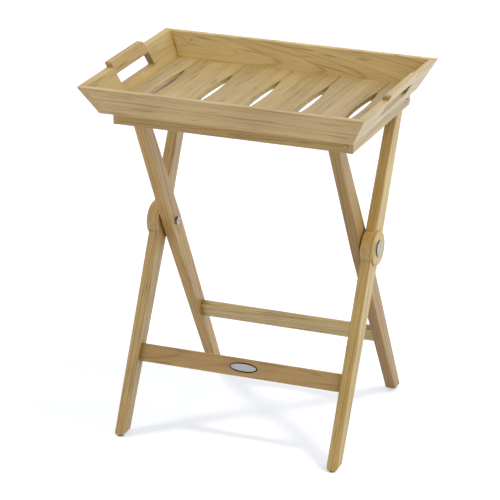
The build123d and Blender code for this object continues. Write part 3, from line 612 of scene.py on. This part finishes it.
def make_nylon():
    """Nylon, moulded with a fine spark texture, which keeps it matt and is drawn coarser than life."""
    look = bpy.context.scene.tray_table_fittings
    material, add = new_material("nylon_moulded")
    coords = add("ShaderNodeTexCoord")
    grit = add(
        "ShaderNodeTexNoise", {"Vector": coords.outputs["Object"], "Scale": 1 / look.grit, "Detail": 2.0}
    )
    tone = patterned(add, look.nylon, grit, darkest=0.8, brightest=1.2)
    add_surface(add, tone, grit, smoothest=0.45, roughest=0.65, strength=0.2, height=0.0002)
    return material


def middle_of(node):
    """Middle of a solid's box."""
    low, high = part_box(node)
    return (low + high) / 2


def dress(node, material):
    """Gives a solid of the table its finish."""
    slots = NODES[node].data.materials
    slots.clear()
    slots.append(material)


def saw(boards):
    """Gives each board of a table of boards its own piece of teak."""
    for name, board in boards.items():
        knots = KNOTS.get(name, ())
        slot_shades = SLOT_END_SHADES.get(name, ())
        dress(name, make_teak(f"teak_{name}", board, middle_of(name), knots, slot_shades))


def solids_in(node, axis):
    """Middle, half length along the axis and radius of each separate solid of a node."""
    shape = bmesh.new()
    shape.from_mesh(NODES[node].data)
    bmesh.ops.remove_doubles(shape, verts=shape.verts, dist=1e-6)
    left = set(shape.verts)
    found = []
    while left:
        edge = [left.pop()]
        solid = []
        while edge:
            corner = edge.pop()
            solid.append(corner.co.copy())
            near = {link.other_vert(corner) for link in corner.link_edges} & left
            left -= near
            edge.extend(near)
        run = [corner.dot(axis) for corner in solid]
        low = Vector([min(corner[i] for corner in solid) for i in range(3)])
        high = Vector([max(corner[i] for corner in solid) for i in range(3)])
        found.append(((low + high) / 2, (max(run) - min(run)) / 2, (high.x - low.x) / 2))
    shape.free()
    return sorted(found, key=lambda row: tuple(row[0]))


def turned_piece_tree():
    """Geometry nodes that set a turned piece, a disc or pin with rounded edges, at each point."""
    tree = bpy.data.node_groups.new("turned_piece", "GeometryNodeTree")
    for name, way, kind in (
        ("Geometry", "INPUT", "NodeSocketGeometry"),
        ("Segments", "INPUT", "NodeSocketInt"),
        ("Edge", "INPUT", "NodeSocketFloat"),
        ("Material", "INPUT", "NodeSocketMaterial"),
        ("Geometry", "OUTPUT", "NodeSocketGeometry"),
    ):
        tree.interface.new_socket(name, in_out=way, socket_type=kind)
    add = functools.partial(add_node, tree)
    given = add("NodeGroupInput")
    count = given.outputs["Segments"]
    edge = given.outputs["Edge"]

    # A sheet, one unit square, rolled up into a closed skin: X goes round the axis, and Y from end to end
    sheet = add("GeometryNodeMeshGrid", {"Vertices X": count, "Vertices Y": count})
    spot = add("ShaderNodeSeparateXYZ", {0: add("GeometryNodeInputPosition")})
    around = add("ShaderNodeMath", {0: spot.outputs["X"], 1: 2 * math.pi}, operation="MULTIPLY")
    rise = add("ShaderNodeMath", {0: spot.outputs["Y"], 1: math.pi}, operation="MULTIPLY")
    cosine = add("ShaderNodeMath", {0: rise}, operation="COSINE")
    inwards = add("ShaderNodeMath", {0: cosine, 1: 0.0}, operation="MAXIMUM")
    radius = add("ShaderNodeMath", {0: inwards, 1: edge}, operation="POWER")
    sine = add("ShaderNodeMath", {0: rise}, operation="SINE")
    upwards = add("ShaderNodeMath", {0: sine}, operation="ABSOLUTE")
    level = add("ShaderNodeMath", {0: upwards, 1: edge}, operation="POWER")
    half = add("ShaderNodeMath", {0: sine}, operation="SIGN")
    side = add("ShaderNodeMath", {0: around}, operation="COSINE")
    front = add("ShaderNodeMath", {0: around}, operation="SINE")
    wall = add("ShaderNodeCombineXYZ", {
        "X": add("ShaderNodeMath", {0: radius, 1: side}, operation="MULTIPLY"),
        "Y": add("ShaderNodeMath", {0: radius, 1: front}, operation="MULTIPLY"),
        "Z": add("ShaderNodeMath", {0: level, 1: half}, operation="MULTIPLY"),
    })
    turned = add("GeometryNodeSetPosition", {"Geometry": sheet, "Position": wall})
    closed = add("GeometryNodeMergeByDistance", {"Geometry": turned, "Distance": 1e-4})
    smooth = add("GeometryNodeSetShadeSmooth", {"Geometry": closed})

    # One at each point, to the point's own size
    axis = add("GeometryNodeInputNamedAttribute", {"Name": "axis"}, data_type="FLOAT_VECTOR")
    size = add("GeometryNodeInputNamedAttribute", {"Name": "size"}, data_type="FLOAT_VECTOR")
    set_along = add("FunctionNodeAlignRotationToVector", {"Vector": axis}, axis="Z")
    placed = add("GeometryNodeInstanceOnPoints", {
        "Points": given.outputs["Geometry"], "Instance": smooth, "Rotation": set_along, "Scale": size,
    })
    whole = add("GeometryNodeRealizeInstances", {"Geometry": placed})
    finished = add("GeometryNodeSetMaterial", {"Geometry": whole, "Material": given.outputs["Material"]})
    add("NodeGroupOutput", {0: finished})
    return tree


def make_turned(name, spots, edge, material, segments=33):
    """Turned pieces as one plain mesh. A spot is a middle, an axis, a radius and a half length."""
    points = bpy.data.meshes.new(f"{name}_spots")
    points.from_pydata([tuple(middle) for middle, *_ in spots], [], [])
    axes = points.attributes.new("axis", "FLOAT_VECTOR", "POINT")
    sizes = points.attributes.new("size", "FLOAT_VECTOR", "POINT")
    for index, (_, axis, radius, half) in enumerate(spots):
        axes.data[index].vector = axis
        sizes.data[index].vector = (radius, radius, half)
    piece = bpy.data.objects.new(name, points)
    bpy.context.scene.collection.objects.link(piece)
    tree = bpy.data.node_groups.get("turned_piece") or turned_piece_tree()
    turning = piece.modifiers.new("turned_piece", "NODES")
    turning.node_group = tree
    keys = {item.name: item.identifier for item in tree.interface.items_tree if item.in_out == "INPUT"}
    turning[keys["Segments"]] = segments
    turning[keys["Edge"]] = edge
    turning[keys["Material"]] = material
    bpy.context.view_layer.update()
    mesh = bpy.data.meshes.new_from_object(piece.evaluated_get(bpy.context.evaluated_depsgraph_get()))
    if not mesh.polygons:
        raise RuntimeError(f"{name}: the turned pieces came out empty")
    piece.modifiers.remove(turning)
    piece.data = mesh
    mesh.name = name
    bpy.data.meshes.remove(points)
    return piece


# Profile of the oval plate, in metres: the rim on its back, the rounding of its edge, how far the middle of
# the rounding lies in from the edge and down from the face, the lip's slopes, and the flat ring inside it.
BACK_RIM = 0.0006
EDGE_RADIUS = 0.00035
EDGE_INSET = 0.00012
EDGE_DROP = 0.0001
LIP_RISE = 0.00025
LIP_FALL = 0.0004
FIELD_RIM = 0.0015


def plate_mesh(look):
    """The oval plate's rounded edge, flat border, raised lip and bare field, with its border marked."""
    low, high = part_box("oval_plate")
    middle = (low + high) / 2
    out = Vector(OUT_OF_PLATE)
    up = Vector(UP_OUTER_LEG)
    corners = [corner.co - middle for corner in NODES["oval_plate"].data.vertices]
    half_length = (high.x - low.x) / 2
    half_height = max(corner.dot(up) for corner in corners)
    face = max(corner.dot(out) for corner in corners)
    crest = face + look.lip_height
    lip_end = look.border_width + look.lip_width
    # From the back, round the edge and over the border and lip to the field: inset, height, blackness
    rings = (
        (BACK_RIM, -face, 1.0),
        (0.0, -face, 1.0),
        (0.0, face - EDGE_RADIUS, 1.0),
        (EDGE_INSET, face - EDGE_DROP, 1.0),
        (EDGE_RADIUS, face, 1.0),
        (look.border_width, face, 1.0),
        (look.border_width + LIP_RISE, crest, 0.0),
        (lip_end - LIP_FALL, crest, 0.0),
        (lip_end, face, 0.0),
        (lip_end + FIELD_RIM, face, 0.0),
    )
    shape = bmesh.new()
    border = shape.verts.layers.float.new("border")
    rows = []
    for inset, height, blackness in rings:
        row = []
        for step in range(look.segments):
            angle = 2 * math.pi * step / look.segments
            spot = middle + out * height
            spot += Vector(ACROSS) * (half_length - inset) * math.cos(angle)
            spot += up * (half_height - inset) * math.sin(angle)
            row.append(shape.verts.new(spot))
            row[-1][border] = blackness
        rows.append(row)
    for lower, upper in zip(rows, rows[1:]):
        for step in range(look.segments):
            after = (step + 1) % look.segments
            shape.faces.new((lower[step], lower[after], upper[after], upper[step]))
    shape.faces.new(rows[-1])
    shape.faces.new(reversed(rows[0]))
    bmesh.ops.recalc_face_normals(shape, faces=shape.faces)
    mesh = bpy.data.meshes.new("bare_plate")
    shape.to_mesh(mesh)
    shape.free()
    return mesh


class TRAYTABLE_OT_tray_boards(bpy.types.Operator):
    """Gives the tray's boards and handle bars their teak, each with its own grain"""

    bl_idname = "tray_table.tray_boards"
    bl_label = "Tray boards"

    def execute(self, context):
        saw(TRAY_BOARDS)
        return {"FINISHED"}


class TRAYTABLE_OT_floor_slats(bpy.types.Operator):
    """Gives each floor slat its own glued-up staves of teak"""

    bl_idname = "tray_table.floor_slats"
    bl_label = "Floor slats"

    def execute(self, context):
        saw(FLOOR_SLATS)
        return {"FINISHED"}


class TRAYTABLE_OT_legs(bpy.types.Operator):
    """Gives the four legs teak whose grain follows their lean"""

    bl_idname = "tray_table.legs"
    bl_label = "Legs"

    def execute(self, context):
        saw(LEGS)
        return {"FINISHED"}


class TRAYTABLE_OT_bars(bpy.types.Operator):
    """Gives the rails, bars, stretchers and dowels their teak"""

    bl_idname = "tray_table.bars"
    bl_label = "Rails, bars and stretchers"

    def execute(self, context):
        saw(BARS)
        return {"FINISHED"}


class TRAYTABLE_OT_pegs(bpy.types.Operator):
    """Turns the pegs that lock the tenons, with eased ends"""

    bl_idname = "tray_table.pegs"
    bl_label = "Pegs"

    def execute(self, context):
        for body, (wood, nodes) in PEGS.items():
            axis = wood.grain
            teak = make_teak(f"teak_pegs_{body}", wood, (0.0, 0.0, 0.0))
            solids = [solid for node in nodes for solid in solids_in(node, Vector(axis))]
            spots = [(middle, axis, radius, half) for middle, half, radius in solids]
            pegs = make_turned(f"{body}_pegs", spots, PEG_EDGE, teak, segments=17)
            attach(pegs, body)
            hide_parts(*nodes)
        return {"FINISHED"}


class TRAYTABLE_OT_pivot_bolts(bpy.types.Operator):
    """Turns the pivot bolts, each a low domed cap on a plain shank"""

    bl_idname = "tray_table.pivot_bolts"
    bl_label = "Pivot bolts"

    def execute(self, context):
        look = context.scene.tray_table_fittings
        steel = make_turned_metal(
            "stainless_steel_cap", "right_pivot_bolt", look.cap, look.cap_shaded_edge, look.cap_roughness
        )
        spots = []
        for side, node in ((-1, "left_pivot_bolt"), (1, "right_pivot_bolt")):
            low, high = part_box(node)
            middle = (low + high) / 2
            face, tip = (high.x, low.x) if side > 0 else (low.x, high.x)
            seat = face - side * look.cap_thickness
            axis = (float(side), 0.0, 0.0)
            cap = Vector(((face + seat) / 2, middle.y, middle.z))
            shank = Vector(((seat + tip) / 2, middle.y, middle.z))
            spots.append((cap, axis, (high.y - low.y) / 2, look.cap_thickness / 2))
            spots.append((shank, axis, look.shank_radius, abs(seat - tip) / 2))
        bolts = make_turned("pivot_bolts", spots, CAP_EDGE, steel, segments=49)
        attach(bolts, "outer_frame")
        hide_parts("left_pivot_bolt", "right_pivot_bolt")
        return {"FINISHED"}


class TRAYTABLE_OT_fittings(bpy.types.Operator):
    """Gives the other bolts, nuts, washers, bushes and inserts their metals"""

    bl_idname = "tray_table.fittings"
    bl_label = "Metal fittings"

    def execute(self, context):
        look = context.scene.tray_table_fittings
        steel = (look.steel, look.steel_shaded_edge, look.steel_roughness)
        brass = (look.brass, look.brass, look.brass_roughness)
        for name in NODES:
            if name.endswith("_rail_bolt"):
                metal = make_turned_metal(f"stainless_steel_{name}", name, *steel, socket=look.socket_radius)
                dress(name, metal)
            elif name.endswith(("_nut", "_washers")):
                dress(name, make_turned_metal(f"stainless_steel_{name}", name, *steel))
            elif name.endswith(("_bushes", "_inserts")):
                dress(name, make_turned_metal(f"brass_{name}", name, *brass))
        return {"FINISHED"}


class TRAYTABLE_OT_plate(bpy.types.Operator):
    """Makes the bare oval plate, with its dark border and bright lip, and dresses its pins"""

    bl_idname = "tray_table.plate"
    bl_label = "Oval plate"

    def execute(self, context):
        metal = make_plate_metal()
        mesh = plate_mesh(context.scene.tray_table_plate)
        mesh.materials.append(metal)
        plate = bpy.data.objects.new("bare_plate", mesh)
        context.scene.collection.objects.link(plate)
        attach(plate, "outer_frame")
        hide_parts("oval_plate")
        dress("plate_pins", metal)
        return {"FINISHED"}


class TRAYTABLE_OT_glides(bpy.types.Operator):
    """Turns the glides under the feet, each a rounded disc on a stem"""

    bl_idname = "tray_table.glides"
    bl_label = "Glides"

    def execute(self, context):
        look = context.scene.tray_table_fittings
        nylon = make_nylon()
        for body, node in (("outer_frame", "outer_glides"), ("inner_frame", "inner_glides")):
            spots = []
            for middle, half, radius in solids_in(node, Vector(UPRIGHT)):
                foot = middle.z - half
                half_stem = half - look.glide_height / 2
                disc = Vector((middle.x, middle.y, foot + look.glide_height / 2))
                spots.append((disc, UPRIGHT, radius, look.glide_height / 2))
                stem = Vector((middle.x, middle.y, foot + look.glide_height + half_stem))
                spots.append((stem, UPRIGHT, look.stem_radius, half_stem))
            glides = make_turned(f"{body}_glides", spots, GLIDE_EDGE, nylon)
            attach(glides, body)
            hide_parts(node)
        return {"FINISHED"}


# Studio, in metres: half the floor's width, how far off the lights above hang, how far behind the table the
# wide one hangs, the height that all lamps point at, and the softbox's place, width and height.
FLOOR_SIZE = 12.0
LAMP_DISTANCE = 3.0
TOP_BEHIND = 0.6
AIM_HEIGHT = 0.4
SOFTBOX_PLACE = (2.6, 0.4, 1.2)
SOFTBOX_WIDTH = 2.0
SOFTBOX_HEIGHT = 1.6


def where_seen(add):
    """One where the floor or sky is seen, straight or in metal or glass, and nought where it gives light."""
    path = add("ShaderNodeLightPath")
    seen_or_mirrored = add(
        "ShaderNodeMath", {0: path.outputs["Is Camera Ray"], 1: path.outputs["Is Glossy Ray"]},
        operation="MAXIMUM",
    )
    return add(
        "ShaderNodeMath", {0: seen_or_mirrored, 1: path.outputs["Is Transmission Ray"]}, operation="MAXIMUM"
    )


def lay_floor(scene, stage):
    """A paper sweep, white to the eye, that keeps the table's shadow."""
    mesh = bpy.data.meshes.new("studio_floor")
    shape = bmesh.new()
    bmesh.ops.create_grid(shape, x_segments=1, y_segments=1, size=FLOOR_SIZE)
    shape.to_mesh(mesh)
    shape.free()
    paper, add = new_material("paper_sweep")
    bounce = add("ShaderNodeBsdfDiffuse", {"Color": stage.floor})
    glow = add("ShaderNodeEmission", {"Color": stage.shadow_tint, "Strength": stage.glow})
    matt = add("ShaderNodeBsdfDiffuse", {"Color": (stage.shade, stage.shade, stage.shade, 1.0)})
    white = add("ShaderNodeAddShader", {0: glow, 1: matt})
    both = add("ShaderNodeMixShader", {0: where_seen(add), 1: bounce, 2: white})
    add("ShaderNodeOutputMaterial", {"Surface": both})
    mesh.materials.append(paper)
    floor = bpy.data.objects.new("studio_floor", mesh)
    scene.collection.objects.link(floor)


def light_sky(scene, stage):
    """Even light all round, and white where it is seen."""
    world = bpy.data.worlds.new("studio_sky")
    scene.world = world
    world.use_nodes = True
    world.node_tree.nodes.clear()
    add = functools.partial(add_node, world.node_tree)
    strength = add("ShaderNodeMapRange", {"Value": where_seen(add), "To Min": stage.sky, "To Max": 1.0})
    sky = add("ShaderNodeBackground", {"Color": (1.0, 1.0, 1.0, 1.0), "Strength": strength})
    add("ShaderNodeOutputWorld", {"Surface": sky})


def hang_lamps(scene, stage):
    """A wide light above, two smaller ones to its left and right, and a softbox at the right."""
    lamps = []
    for name, strength, spread, slant, behind in (
        ("top_light", stage.top_light, stage.top_spread, 0.0, TOP_BEHIND),
        ("left_key", stage.key_light, stage.key_spread, -stage.key_slant, 0.0),
        ("right_key", stage.key_light, stage.key_spread, stage.key_slant, 0.0),
    ):
        above = bpy.data.lights.new(name, "SUN")
        above.energy = strength
        above.angle = spread
        aside = LAMP_DISTANCE * math.sin(slant)
        height = AIM_HEIGHT + LAMP_DISTANCE * math.cos(slant)
        lamps.append((above, Vector((aside, behind, height))))
    softbox = bpy.data.lights.new("side_light", "AREA")
    softbox.energy = stage.side_light
    softbox.color = stage.side_tint[:3]
    softbox.shape = "RECTANGLE"
    softbox.size = SOFTBOX_WIDTH
    softbox.size_y = SOFTBOX_HEIGHT
    lamps.append((softbox, Vector(SOFTBOX_PLACE)))
    for lamp, place in lamps:
        light = bpy.data.objects.new(lamp.name, lamp)
        light.location = place
        aim = Vector((0.0, 0.0, AIM_HEIGHT)) - place
        light.rotation_euler = aim.to_track_quat("-Z", "Y").to_euler()
        light.visible_camera = False
        light.visible_glossy = False
        scene.collection.objects.link(light)


def set_camera(scene, stage):
    """The camera, at the photograph's angle."""
    camera = bpy.data.cameras.new("photo_camera")
    camera.lens = stage.lens
    camera.sensor_width = 36
    camera.clip_end = 100
    eye = bpy.data.objects.new("photo_camera", camera)
    back = Vector((
        math.sin(stage.azimuth) * math.cos(stage.elevation),
        -math.cos(stage.azimuth) * math.cos(stage.elevation),
        math.sin(stage.elevation),
    ))
    turn = back.to_track_quat("Z", "Y").to_matrix() @ Matrix.Rotation(stage.roll, 3, "Z")
    eye.matrix_world = Matrix.Translation(Vector(stage.target) + back * stage.distance) @ turn.to_4x4()
    scene.collection.objects.link(eye)
    scene.camera = eye
    scene.view_settings.view_transform = "Standard"


class TRAYTABLE_OT_stage(bpy.types.Operator):
    """Sets up the pale floor, the soft light and the camera"""

    bl_idname = "tray_table.stage"
    bl_label = "Studio"

    def execute(self, context):
        for set_up in (lay_floor, light_sky, hang_lamps, set_camera):
            set_up(context.scene, context.scene.tray_table_stage)
        return {"FINISHED"}


STEPS = (
    TRAYTABLE_OT_tray_boards,
    TRAYTABLE_OT_floor_slats,
    TRAYTABLE_OT_legs,
    TRAYTABLE_OT_bars,
    TRAYTABLE_OT_pegs,
    TRAYTABLE_OT_pivot_bolts,
    TRAYTABLE_OT_fittings,
    TRAYTABLE_OT_plate,
    TRAYTABLE_OT_glides,
    TRAYTABLE_OT_stage,
)
GROUPS = {
    "tray_table_teak": TeakSettings,
    "tray_table_fittings": FittingSettings,
    "tray_table_plate": PlateSettings,
    "tray_table_stage": StageSettings,
}


class TRAYTABLE_PT_sidebar(bpy.types.Panel):
    """Lists the table's pieces, their settings and the studio"""

    bl_idname = "TRAYTABLE_PT_sidebar"
    bl_label = "Tray table"
    bl_space_type = "VIEW_3D"
    bl_region_type = "UI"
    bl_category = "Tray table"

    def draw(self, context):
        for step in STEPS:
            self.layout.operator(step.bl_idname)
        for group, settings in GROUPS.items():
            for key in settings.__annotations__:
                self.layout.prop(getattr(context.scene, group), key)


def register():
    """Adds the settings, the operators and the sidebar panel."""
    for group, settings in GROUPS.items():
        bpy.utils.register_class(settings)
        setattr(bpy.types.Scene, group, bpy.props.PointerProperty(type=settings))
    for step in STEPS:
        bpy.utils.register_class(step)
    bpy.utils.register_class(TRAYTABLE_PT_sidebar)


def unregister():
    """Takes the panel, the operators and the settings away again."""
    bpy.utils.unregister_class(TRAYTABLE_PT_sidebar)
    for step in reversed(STEPS):
        bpy.utils.unregister_class(step)
    for group, settings in GROUPS.items():
        delattr(bpy.types.Scene, group)
        bpy.utils.unregister_class(settings)


def main():
    """Registers the add-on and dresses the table."""
    register()
    for step in STEPS:
        area, name = step.bl_idname.split(".")
        getattr(getattr(bpy.ops, area), name)()


if __name__ == "__main__":
    main()
